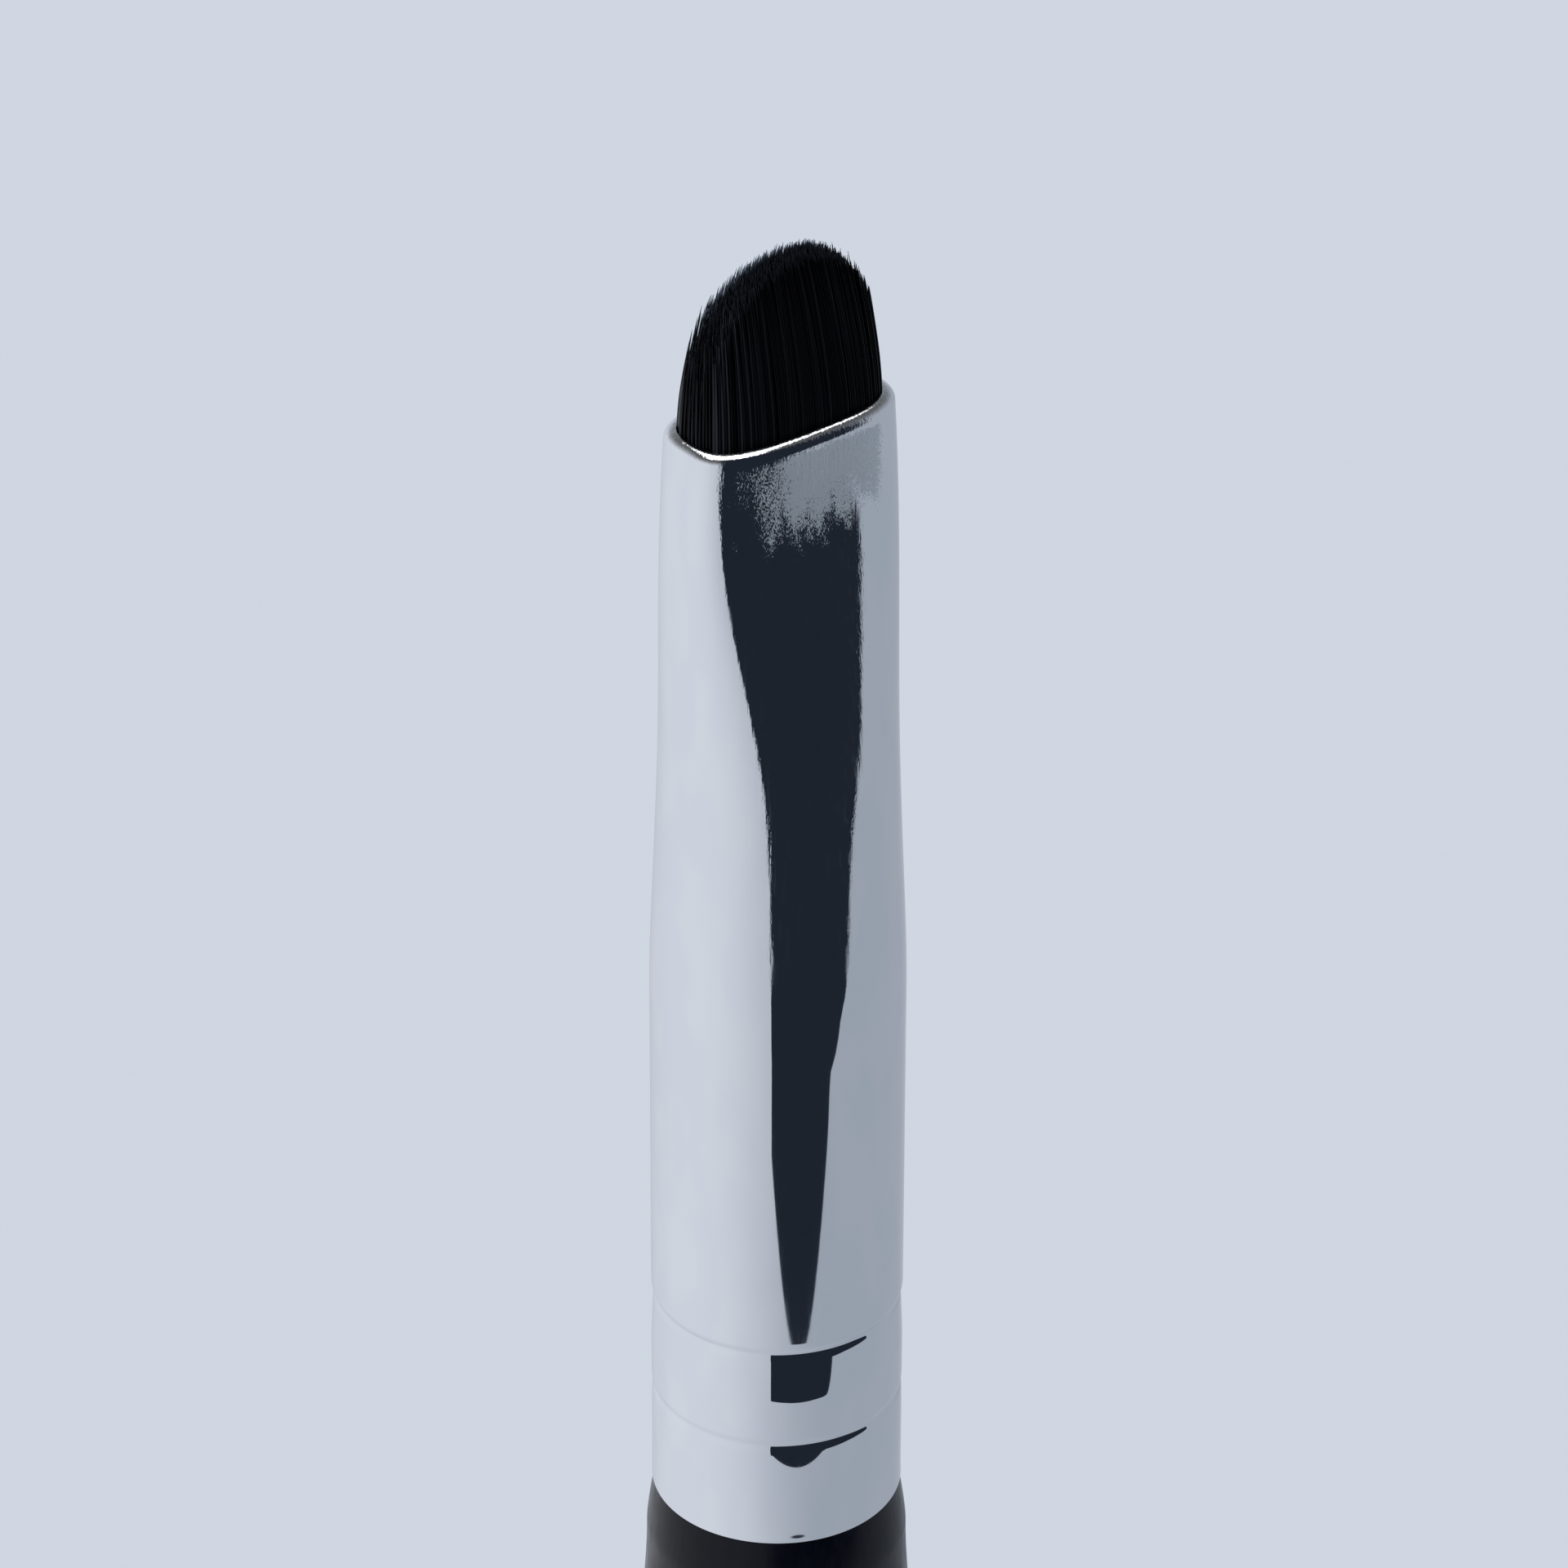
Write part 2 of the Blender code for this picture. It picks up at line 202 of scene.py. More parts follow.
class Nodes:
    """Short calls for shader nodes. Numbers, colours or sockets go in, and a socket comes out."""

    def __init__(self, owner):
        owner.use_nodes = True
        self.tree = owner.node_tree

    def add(self, kind, values=None, **settings):
        made = self.tree.nodes.new(kind)
        for name, value in settings.items():
            setattr(made, name, value)
        for name, value in (values or {}).items():
            self.put(value, made.inputs[name])
        return made

    def put(self, value, socket):
        if isinstance(value, bpy.types.NodeSocket):
            self.tree.links.new(value, socket)
        else:
            socket.default_value = value

    def calc(self, operation, *values):
        made = self.add("ShaderNodeMath", dict(enumerate(values)), operation=operation)
        return made.outputs[0]

    def vector(self, operation, *values):
        made = self.add("ShaderNodeVectorMath", dict(enumerate(values)), operation=operation)
        return made.outputs["Value" if operation in ("DOT_PRODUCT", "LENGTH") else "Vector"]

    def step(self, value, low, high):
        """0 at low, 1 at high, smooth between; low may be the larger."""
        flip = low > high
        ends = {"Value": value, "From Min": min(low, high), "From Max": max(low, high)}
        ends["To Min"] = 1.0 if flip else 0.0
        ends["To Max"] = 0.0 if flip else 1.0
        return self.add("ShaderNodeMapRange", ends, interpolation_type="SMOOTHSTEP").outputs[0]

    def blend(self, share, first, second):
        """Mix of two colours."""
        made = self.add("ShaderNodeMix", data_type="RGBA")
        self.put(share, made.inputs[0])
        for value, socket in ((first, made.inputs[6]), (second, made.inputs[7])):
            self.put((*value, 1.0) if isinstance(value, tuple) else value, socket)
        return made.outputs[2]

    def lerp(self, share, first, second):
        """Mix of two numbers."""
        made = self.add("ShaderNodeMix", {0: share, 2: first, 3: second}, data_type="FLOAT")
        return made.outputs[0]

    def noise(self, at, scale, detail=2.0, roughness=0.5):
        values = {"Vector": at, "Scale": scale, "Detail": detail, "Roughness": roughness}
        return self.add("ShaderNodeTexNoise", values).outputs[0]

    def product(self, first, second):
        return self.calc("MULTIPLY", first, second)

    def shifted(self, value, by, amount):
        """value + by * amount"""
        return self.calc("ADD", value, self.product(by, amount))

    def along(self, at, share):
        """Place with its height scaled, so that a pattern on it is drawn out along the brush."""
        return self.vector("MULTIPLY", at, (1, 1, share))

    def bump(self, height, depth, normal=None):
        values = {"Height": height, "Distance": depth}
        if normal:
            values["Normal"] = normal
        return self.add("ShaderNodeBump", values).outputs[0]

    def millimetres(self):
        """Place on the object at rest, in millimetres."""
        place = self.add("ShaderNodeTexCoord").outputs["Object"]
        return self.vector("MULTIPLY", place, (1 / MM, 1 / MM, 1 / MM))

    def parts(self, vector):
        return self.add("ShaderNodeSeparateXYZ", {0: vector}).outputs


def principled(name, colour, roughness, metallic=0.0, specular=0.5):
    """A new material, its nodes and its Principled shader's sockets."""
    made = bpy.data.materials.new(name)
    nodes = Nodes(made)
    shader = nodes.tree.nodes["Principled BSDF"].inputs
    shader["Base Color"].default_value = (*colour, 1.0)
    shader["Roughness"].default_value = roughness
    shader["Metallic"].default_value = metallic
    shader["Specular IOR Level"].default_value = specular
    return made, nodes, shader


# ---------------------------------------------------------------- materials


CHROME = (0.80, 0.82, 0.86)
PALER_CHROME = (0.83, 0.845, 0.87)
SCUFFED_CHROME = (0.92, 0.97, 1.0)
POLISHED_ROUGHNESS = 0.022
STREAKED_ROUGHNESS = 0.1
SCUFFED_ROUGHNESS = 0.72
# The scuffed patch, from the mouth down and across the front. Each edge fades between two places, and
# wanders by its share of an uneven noise.
SCUFF_REACH = 2.2
SCUFF_LOWER_FADE = 0.7
SCUFF_UPPER_EDGE = (0.28, 0.5)
SCUFF_LEFT_EDGE = (-2.6, -0.3)
SCUFF_RIGHT_EDGE = (2.1, 1.7)
SCUFF_FRONT = (-0.2, -0.8)
SCUFF_WANDER = {"lower": 2.6, "upper": 0.3, "left": 1.6, "right": 0.5}
SCUFF_SPECKLE = 3.2
SCUFF_PRESENT = (0.0, 0.1)
SCUFF_CONTRAST = (0.35, 0.65)
# The drawing marks fade out this far below the mouth, and are deepest near it.
MARKS_FADE = (15.5, 13.5)
MARKS_DEEPEST = (2.5, 0.4)
FAINT_MARKS = 0.01
DRAWN_MARKS = 0.9
DEEPEST_MARKS = 3.5
CALM_SHARE = 0.1
WAVE_DEPTH = 0.0025 * MM
FIBRE_DEPTH = 0.0020 * MM
GRAIN_DEPTH = 0.0009 * MM


def scuffed_patch(nodes, place, below):
    """How scuffed the chrome is: a patch on the front face, ragged at its lower side and speckled."""
    x, y, _ = nodes.parts(place)
    uneven = nodes.noise(nodes.along(place, 0.4), scale=2.2, detail=3.0, roughness=0.55)
    uneven = nodes.calc("SUBTRACT", uneven, 0.5)
    reach = nodes.shifted(SCUFF_REACH, uneven, SCUFF_WANDER["lower"])
    lower = nodes.step(nodes.calc("SUBTRACT", reach, below), -SCUFF_LOWER_FADE, SCUFF_LOWER_FADE)
    upper = nodes.step(nodes.shifted(below, uneven, SCUFF_WANDER["upper"]), *SCUFF_UPPER_EDGE)
    left = nodes.step(nodes.shifted(x, uneven, SCUFF_WANDER["left"]), *SCUFF_LEFT_EDGE)
    right = nodes.step(nodes.shifted(x, uneven, SCUFF_WANDER["right"]), *SCUFF_RIGHT_EDGE)
    front = nodes.step(y, *SCUFF_FRONT)
    scuff = nodes.product(nodes.product(lower, upper), front)
    scuff = nodes.product(scuff, nodes.product(left, right))
    speckle = nodes.noise(nodes.along(place, 0.4), scale=36.0, detail=2.0, roughness=0.6)
    speckle = nodes.product(nodes.calc("SUBTRACT", speckle, 0.5), SCUFF_SPECKLE)
    present = nodes.step(scuff, *SCUFF_PRESENT)
    scuff = nodes.step(nodes.calc("ADD", scuff, speckle), *SCUFF_CONTRAST)
    return nodes.product(scuff, present)


def chrome():
    """Polished chrome with faint drawing marks along the tube and a scuffed patch by the mouth."""
    made, nodes, shader = principled("ferrule_chrome", CHROME, POLISHED_ROUGHNESS, metallic=1.0)
    place = nodes.millimetres()
    below = nodes.calc("SUBTRACT", MOUTH_Z / MM, nodes.parts(place)[2])
    fibres = nodes.noise(nodes.along(place, 0.1), scale=9.0, detail=3.0, roughness=0.6)
    grain = nodes.noise(nodes.along(place, 0.6), scale=20.0, detail=2.0, roughness=0.6)
    waves = nodes.noise(nodes.along(place, 0.35), scale=1.1, detail=1.0, roughness=0.4)
    scuff = scuffed_patch(nodes, place, below)
    drawn = nodes.step(below, *MARKS_FADE)
    calm = nodes.lerp(drawn, CALM_SHARE, 1.0)
    streaks = nodes.product(nodes.step(fibres, 0.52, 0.62), calm)
    polish = nodes.lerp(streaks, POLISHED_ROUGHNESS, STREAKED_ROUGHNESS)
    nodes.put(nodes.lerp(scuff, polish, SCUFFED_ROUGHNESS), shader["Roughness"])
    tint = nodes.blend(nodes.step(waves, 0.35, 0.65), CHROME, PALER_CHROME)
    nodes.put(nodes.blend(scuff, tint, SCUFFED_CHROME), shader["Base Color"])
    by_mouth = nodes.lerp(nodes.step(below, *MARKS_DEEPEST), DRAWN_MARKS, DEEPEST_MARKS)
    deep = nodes.lerp(drawn, FAINT_MARKS, by_mouth)
    normal = nodes.bump(nodes.product(waves, calm), WAVE_DEPTH)
    normal = nodes.bump(nodes.product(fibres, deep), FIBRE_DEPTH, normal)
    normal = nodes.bump(nodes.product(grain, deep), GRAIN_DEPTH, normal)
    nodes.put(normal, shader["Normal"])
    return made


def lacquer():
    """Satin black lacquer on turned wood, with a little fine dust in it."""
    black = (0.001, 0.002, 0.005)
    made, nodes, shader = principled("handle_lacquer", black, roughness=0.25, specular=0.2)
    place = nodes.millimetres()
    peel = nodes.noise(nodes.along(place, 0.7), scale=2.4, detail=2.0, roughness=0.5)
    grain = nodes.noise(nodes.along(place, 0.05), scale=5.0, detail=4.0, roughness=0.6)
    dust = nodes.noise(place, scale=16.0, detail=3.0, roughness=0.65)
    dark_grain = (0.0008, 0.0014, 0.0042)
    pale_grain = (0.0018, 0.0026, 0.0062)
    dust_colour = (0.010, 0.010, 0.012)
    dust_share = nodes.product(nodes.step(dust, 0.6, 0.75), 0.25)
    shade = nodes.blend(nodes.step(grain, 0.35, 0.7), dark_grain, pale_grain)
    nodes.put(nodes.blend(dust_share, shade, dust_colour), shader["Base Color"])
    nodes.put(nodes.lerp(nodes.step(peel, 0.3, 0.7), 0.22, 0.30), shader["Roughness"])
    normal = nodes.bump(peel, 0.006 * MM)
    normal = nodes.bump(grain, 0.003 * MM, normal)
    nodes.put(normal, shader["Normal"])
    return made


def filament():
    """Black nylon, a little paler from one filament to the next, paler still on the heel side by a
    painted highlight, and greyer at its tip by a painted backlight.
    """
    black = (0.0015, 0.0015, 0.002)
    made, nodes, shader = principled("bristle_filament", black, roughness=0.25, specular=0.1)
    tone_and_sheen = nodes.add("ShaderNodeAttribute", attribute_name="tone_and_sheen").outputs["Fac"]
    along = nodes.add("ShaderNodeAttribute", attribute_name="along").outputs["Fac"]
    tip_backlight = nodes.add("ShaderNodeAttribute", attribute_name="tip_backlight").outputs["Fac"]
    dark_filament = (0.0004, 0.0005, 0.0008)
    pale_filament = (0.020, 0.021, 0.026)
    # Painted backlight: this tip colour stands in for light from behind showing through the thin tips.
    tip_backlight_colour = (0.16, 0.20, 0.26)
    # The base colour mixes a random tone with a painted highlight on the heel side.
    shade = nodes.blend(tone_and_sheen, dark_filament, pale_filament)
    # The painted backlight is faint on every tip and full on the tips of the back rows.
    tip = nodes.product(nodes.step(along, 0.955, 1.0), nodes.lerp(tip_backlight, 0.05, 1.0))
    nodes.put(nodes.blend(tip, shade, tip_backlight_colour), shader["Base Color"])
    nodes.put(nodes.lerp(tone_and_sheen, 0.22, 0.40), shader["Roughness"])
    return made


def cured(name, colours, cloud_scale, roughness, bump_scale, bump_depth):
    """A cured resin or glue: cloudy between two colours, with an uneven surface."""
    made, nodes, shader = principled(name, colours[1], roughness[1])
    place = nodes.millimetres()
    cloud = nodes.noise(place, cloud_scale, detail=3.0, roughness=0.6)
    nodes.put(nodes.blend(nodes.step(cloud, 0.3, 0.7), *colours), shader["Base Color"])
    nodes.put(nodes.lerp(cloud, *roughness), shader["Roughness"])
    nodes.put(nodes.bump(nodes.noise(place, bump_scale), bump_depth), shader["Normal"])
    return made


def resin():
    amber = ((0.45, 0.31, 0.12), (0.60, 0.46, 0.22))
    return cured("setting_resin", amber, 1.5, (0.12, 0.3), 4.0, 0.01 * MM)


def glue():
    honey = ((0.50, 0.42, 0.24), (0.68, 0.59, 0.40))
    return cured("joint_glue", honey, 2.5, (0.2, 0.45), 6.0, 0.012 * MM)


def thread():
    """Waxed thread: plies wind round each turn, with painted shade in the grooves between them."""
    plies_in_a_turn = 60.0
    ply_climb = 14.0
    made, nodes, shader = principled("waxed_thread", (0.75, 0.72, 0.65), roughness=0.7)
    place = nodes.millimetres()
    x, y, z = nodes.parts(place)
    turn = nodes.product(nodes.calc("ARCTAN2", y, x), plies_in_a_turn)
    wave = nodes.calc("SINE", nodes.shifted(turn, z, ply_climb))
    fuzz = nodes.noise(place, scale=20.0, detail=3.0, roughness=0.6)
    ply = nodes.calc("ADD", wave, fuzz)
    # Painted shade: darker in the grooves between the plies, paler on their crests.
    groove_shade_colour = (0.46, 0.43, 0.36)
    crest_colour = (0.78, 0.75, 0.68)
    shade = nodes.blend(nodes.step(ply, -0.6, 1.2), groove_shade_colour, crest_colour)
    nodes.put(shade, shader["Base Color"])
    nodes.put(nodes.bump(ply, 0.02 * MM), shader["Normal"])
    return made


def roots():
    """The bound ends of the filaments: fine vertical grooves, with painted shade in them."""
    made, nodes, shader = principled("filament_roots", (0.012, 0.012, 0.014), roughness=0.5)
    place = nodes.millimetres()
    lines = nodes.noise(nodes.along(place, 0.02), scale=16.0, detail=2.0, roughness=0.6)
    # Painted shade: darker down the grooves, paler on the crests between them.
    groove_shade_colour = (0.006, 0.006, 0.008)
    crest_colour = (0.022, 0.021, 0.022)
    shade = nodes.blend(nodes.step(lines, 0.35, 0.65), groove_shade_colour, crest_colour)
    nodes.put(shade, shader["Base Color"])
    nodes.put(nodes.lerp(lines, 0.35, 0.6), shader["Roughness"])
    nodes.put(nodes.bump(lines, 0.02 * MM), shader["Normal"])
    return made


# ---------------------------------------------------------------- meshes


def outline(half_x, half_y, exponent, sides=RING_SIDES):
    """Points of a superellipse, as an array of (x, y)."""
    turn = np.arange(sides) * math.tau / sides
    c = np.cos(turn)
    s = np.sin(turn)
    x = half_x * np.sign(c) * np.abs(c) ** (2 / exponent)
    y = half_y * np.sign(s) * np.abs(s) ** (2 / exponent)
    return np.stack([x, y], axis=1)


def girth(half_x, half_y, exponent):
    points = outline(half_x, half_y, exponent)
    return np.linalg.norm(points - np.roll(points, 1, axis=0), axis=1).sum()


def half_width_for(wanted_girth, half_y, exponent):
    """The half width that gives a flattened tube its girth, found by halving an interval."""
    low = half_y
    high = wanted_girth / 2
    for _ in range(GIRTH_HALVINGS):
        middle = (low + high) / 2
        if girth(middle, half_y, exponent) < wanted_girth:
            low = middle
        else:
            high = middle
    return (low + high) / 2


def crimp_dent(height):
    """Depth of a rolled crimp and of the metal that it drags in."""
    dent = 0.0
    for crimp, (depth, reach, power) in zip(CRIMP_HEIGHTS, CRIMP_DRAGS):
        offset = abs(height - crimp) / CRIMP_HALF_WIDTH
        if offset < 1:
            dent += CRIMP_DEPTH * (1 + math.cos(math.pi * offset)) / 2
        if height < crimp:
            dent += depth * max(0.0, 1 - (crimp - height) / reach) ** power
        else:
            dent += depth * max(0.0, 1 - (height - crimp) / DRAG_ABOVE) ** DRAG_ABOVE_POWER
    return dent


def bulge(height, middle, reach):
    return math.exp(-(((height - middle) / reach) ** 2))


def ferrule_section(height):
    """Half width, half thickness and exponent of the ferrule's outside at this height."""
    past = height - DRAWN_FROM
    eased = (past + math.hypot(past, DRAWING_EASE)) / 2
    drawn = eased / (FERRULE_LENGTH - DRAWN_FROM)
    radius = mix(FERRULE_RADIUS, MOUTH_GIRTH_RADIUS, drawn) - crimp_dent(height)
    radius += SHOULDER_SWELL * bulge(height, DRAWN_FROM - SHOULDER_SWELL_DROP, SHOULDER_SWELL_REACH)
    radius += EDGE_FLARE * bulge(height, 0.0, EDGE_FLARE_REACH)
    past = (height - FLATTENED_FROM) / (FERRULE_LENGTH - FLATTENED_FROM)
    flat = float(smooth((past + math.hypot(past, FLATTENING_EASE)) / 2))
    if height < ROUND_UP_TO:
        return radius, radius, 2.0
    half_y = mix(radius, MOUTH_HALF_THICKNESS, flat)
    exponent = mix(2.0, MOUTH_EXPONENT, flat)
    return half_width_for(math.tau * radius, half_y, exponent), half_y, exponent


def ring_at(half_x, half_y, exponent, z):
    points = outline(half_x, half_y, exponent)
    return np.column_stack([points, np.full(len(points), z)])


def inset_ring(section, inset, z):
    """The ring of a ferrule section, moved inwards."""
    half_x, half_y, exponent = section
    return ring_at(half_x - inset, half_y - inset, exponent, z)


def lofted(name, rings, look, closed):
    """A mesh through rings of equal count, joined end to start or capped flat."""
    count = len(rings[0])
    points = np.concatenate(rings)
    faces = []
    rows = len(rings)
    for row in range(rows if closed else rows - 1):
        lower = row * count
        upper = (row + 1) % rows * count
        for i in range(count):
            j = (i + 1) % count
            faces.append((lower + i, lower + j, upper + j, upper + i))
    if not closed:
        faces.append(tuple(range(count))[::-1])
        faces.append(tuple(range((rows - 1) * count, rows * count)))
    mesh = bpy.data.meshes.new(name)
    mesh.from_pydata(points.tolist(), [], faces)
    mesh.materials.append(look)
    mesh.shade_smooth()
    made = bpy.data.objects.new(name, mesh)
    bpy.context.scene.collection.objects.link(made)
    return made


def make_ferrule(look):
    """Drawn tube with two crimps, its lower edge eased and its mouth's edge curled in."""
    heights = list(np.linspace(EDGE_ROUNDING, CRIMPS_END, CRIMP_RINGS))
    heights += list(np.linspace(CRIMPS_END, DRAWN_FROM, STRAIGHT_RINGS))[1:]
    heights += list(np.linspace(DRAWN_FROM, FERRULE_LENGTH - LIP_ROUNDING, DRAWN_RINGS))[1:]
    edge = ferrule_section(EDGE_ROUNDING)
    lip = ferrule_section(FERRULE_LENGTH - LIP_ROUNDING)
    rings = []
    for turn in np.radians(np.linspace(0, EDGE_ROUNDING_TURN, EDGE_RINGS)):
        z = FERRULE_Z + EDGE_ROUNDING * (1 - math.cos(turn))
        rings.append(inset_ring(edge, EDGE_ROUNDING * (1 - math.sin(turn)), z))
    for height in heights:
        rings.append(inset_ring(ferrule_section(height), 0.0, FERRULE_Z + height))
    for turn in np.radians(np.linspace(0, 90, LIP_CURL_RINGS))[1:]:
        z = MOUTH_Z - LIP_ROUNDING * (1 - math.sin(turn))
        rings.append(inset_ring(lip, LIP_ROUNDING * (1 - math.cos(turn)), z))
    for turn in np.radians(np.linspace(0, 90, LIP_END_RINGS))[1:]:
        z = MOUTH_Z - LIP_THICKNESS / 2 * (1 - math.cos(turn))
        rings.append(inset_ring(lip, LIP_ROUNDING + LIP_THICKNESS / 2 * math.sin(turn), z))
    lip_inset = LIP_ROUNDING + LIP_THICKNESS / 2
    for drop in np.linspace(0, 1, LIP_BACK_RINGS + 1)[1:]:
        z = MOUTH_Z - LIP_THICKNESS / 2 - drop * LIP_BACK_DEPTH
        rings.append(inset_ring(lip, mix(lip_inset, FERRULE_WALL, smooth(drop)), z))
    for height in heights[::-1][INSIDE_FIRST::INSIDE_EVERY]:
        rings.append(inset_ring(ferrule_section(height), FERRULE_WALL, FERRULE_Z + height))
    rings.append(inset_ring(edge, FERRULE_WALL, FERRULE_Z))
    made = lofted("ferrule_tube", rings, look, closed=True)
    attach(made, "brush")
    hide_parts("ferrule")


def through_points(points, steps):
    """A smooth curve through (z, radius) points, level at its first and last point."""
    slopes = [0.0]
    for before, after in zip(points, points[2:]):
        slopes.append((after[1] - before[1]) / (after[0] - before[0]))
    slopes.append(0.0)
    curve = [points[0]]
    for i in range(len(points) - 1):
        (z0, r0), (z1, r1) = points[i], points[i + 1]
        span = z1 - z0
        for step in range(1, steps + 1):
            t = step / steps
            radius = mix(r0, r1, float(smooth(t)))
            radius += span * (t * (1 - t) ** 2 * slopes[i] - t * t * (1 - t) * slopes[i + 1])
            curve.append((mix(z0, z1, t), radius))
    return curve


def make_handle(look):
    """Turned handle with a rounded butt, and a shoulder that meets the ferrule."""
    profile = []
    for turn in np.radians(np.linspace(0, 90, BUTT_RINGS)[:-1]):
        radius = mix(BUTT_FLAT_RADIUS, TAIL_RADIUS, math.sin(turn))
        profile.append((BUTT_ROUNDING * (1 - math.cos(turn)), radius))
    shoulder = FERRULE_Z - SHOULDER_GAP
    body = [
        (BUTT_ROUNDING, TAIL_RADIUS),
        (WAIST_HEIGHT, WAIST_RADIUS),
        (TAPER_HEIGHT, TAPER_RADIUS),
        (HANDLE_LENGTH - SWELL_BELOW_SHOULDER, HANDLE_RADIUS),
    ]
    body += [(HANDLE_LENGTH - below, radius) for below, radius in NECK]
    profile += through_points(body, BODY_STEPS)
    low = profile[-1][0]
    for t in np.linspace(0, 1, SHOULDER_RINGS)[1:]:
        radius = SHOULDER_RADIUS + SHOULDER_WIDENING * (1 - t**SHOULDER_POWER)
        profile.append((mix(low, shoulder, t), radius))
    profile.append((shoulder, TENON_RADIUS + TENON_FILLET))
    profile.append((shoulder + TENON_FILLET, TENON_RADIUS))
    tenon_end = HANDLE_LENGTH + TENON_LENGTH
    profile.append((tenon_end - TENON_CHAMFER, TENON_RADIUS))
    profile.append((tenon_end, TENON_RADIUS - TENON_CHAMFER))
    rings = [ring_at(radius, radius, 2.0, z) for z, radius in profile]
    made = lofted("handle_turned", rings, look, closed=False)
    made.data.set_sharp_from_angle(angle=SHARP_ANGLE)
    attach(made, "brush")
    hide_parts("handle")


def tip_height(across):
    """Height of the tips above the mouth, across the width from -1 (heel) to 1 (toe)."""
    crown = np.clip(1 - np.abs(across) ** TIP_EXPONENT, 0, 1) ** (1 / TIP_EXPONENT)
    return TIP_SIDE_HEIGHT + TIP_SLANT * across + TIP_CROWN * crown


def filament_places(rng):
    """Places of the filaments in the mouth: a triangular lattice, each a little off its point."""
    row_pitch = FILAMENT_PITCH * math.sqrt(3) / 2
    places = []
    rows = int(BUNDLE_HALF_THICKNESS / row_pitch) + 1
    columns = int(BUNDLE_HALF_WIDTH / FILAMENT_PITCH) + 2
    for row in range(-rows, rows + 1):
        for column in range(-columns, columns + 1):
            x = (column + 0.5 * (row % 2)) * FILAMENT_PITCH
            places.append((x, row * row_pitch))
    places = np.array(places)
    places += rng.normal(0, PLACE_SCATTER * FILAMENT_PITCH, places.shape)
    inside = np.abs(places[:, 0] / BUNDLE_HALF_WIDTH) ** MOUTH_EXPONENT
    inside += np.abs(places[:, 1] / BUNDLE_HALF_THICKNESS) ** MOUTH_EXPONENT
    return places[inside < 1]


def clump_centres(places, rng):
    """The middle of the clump that each filament belongs to."""
    cell = np.round(places / CLUMP_SIZE + rng.normal(0, CLUMP_SCATTER, places.shape))
    centres = np.zeros_like(places)
    for key in np.unique(cell, axis=0):
        members = (cell == key).all(axis=1)
        centres[members] = places[members].mean(axis=0)
    return centres


def make_tuft(look):
    """The free filaments, each a tapered closed tube, in several pieces side by side."""
    rng = np.random.default_rng(SEED)
    places = filament_places(rng)
    places = places[np.argsort(places[:, 0])]
    count = len(places)
    across = places[:, 0] / BUNDLE_HALF_WIDTH
    depth = places[:, 1] / BUNDLE_HALF_THICKNESS
    tips = tip_height(across) + MIDDLE_ROW_RISE - OUTER_ROW_FALL * depth**2
    tips += rng.normal(0, TIP_SCATTER, count)
    # Painted highlight: the heel side gets paler tones, standing in for the sheen its filaments catch
    # there.
    heel_sheen = smooth(-across - HEEL_SHEEN_MIDDLE)
    tone_and_sheen = np.clip(rng.random(count) ** TONE_POWER * mix(*HEEL_SHEEN_SHARES, heel_sheen), 0, 1)
    # Painted backlight: how much each tip is paled, more towards the back rows.
    tip_backlight = smooth((depth - TIP_BACKLIGHT_FROM) / TIP_BACKLIGHT_OVER)
    centres = clump_centres(places, rng)
    pull = rng.uniform(*CLUMP_PULL, count)
    wander = rng.normal(0, TIP_WANDER, (count, 2))
    spin = rng.uniform(0, math.tau, count)
    root = ROOT_Z - MOUTH_Z
    share = np.linspace(0, 1, FILAMENT_RINGS) ** RING_SPREAD
    height = root + (tips[:, None] - root) * share[None, :]
    lean = (np.clip(height, 0, None) / tip_height(0.0)) ** LEAN_POWER
    late = share[None, :, None] ** CLUMP_POWER
    path = places[:, None, :] + late * (pull[:, None] * (centres - places))[:, None, :]
    path = path + wander[:, None, :] * share[None, :, None] ** WANDER_POWER
    path[:, :, 0] *= mix(1.0, TIP_NARROWING, lean)
    path[:, :, 1] *= mix(1.0, TIP_THINNING, lean)
    to_tip = np.clip((tips[:, None] - height) / TIP_TAPER, 0, 1)
    radius = FILAMENT_RADIUS * mix(TIP_RADIUS_SHARE, 1.0, to_tip**TAPER_POWER)
    turn = np.arange(FILAMENT_SIDES) * math.tau / FILAMENT_SIDES
    ring = turn[None, None, :] + spin[:, None, None]
    points = np.empty((count, FILAMENT_RINGS, FILAMENT_SIDES, 3))
    points[..., 0] = path[:, :, None, 0] + radius[:, :, None] * np.cos(ring)
    points[..., 1] = path[:, :, None, 1] + radius[:, :, None] * np.sin(ring)
    points[..., 2] = MOUTH_Z + height[:, :, None]
    for part, chosen in enumerate(np.array_split(np.arange(count), TUFT_PIECES)):
        name = f"filaments_{part + 1}"
        made = strands(name, points[chosen], look, tone_and_sheen[chosen], tip_backlight[chosen], share)
        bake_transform(made)
        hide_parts("bristle_tuft")


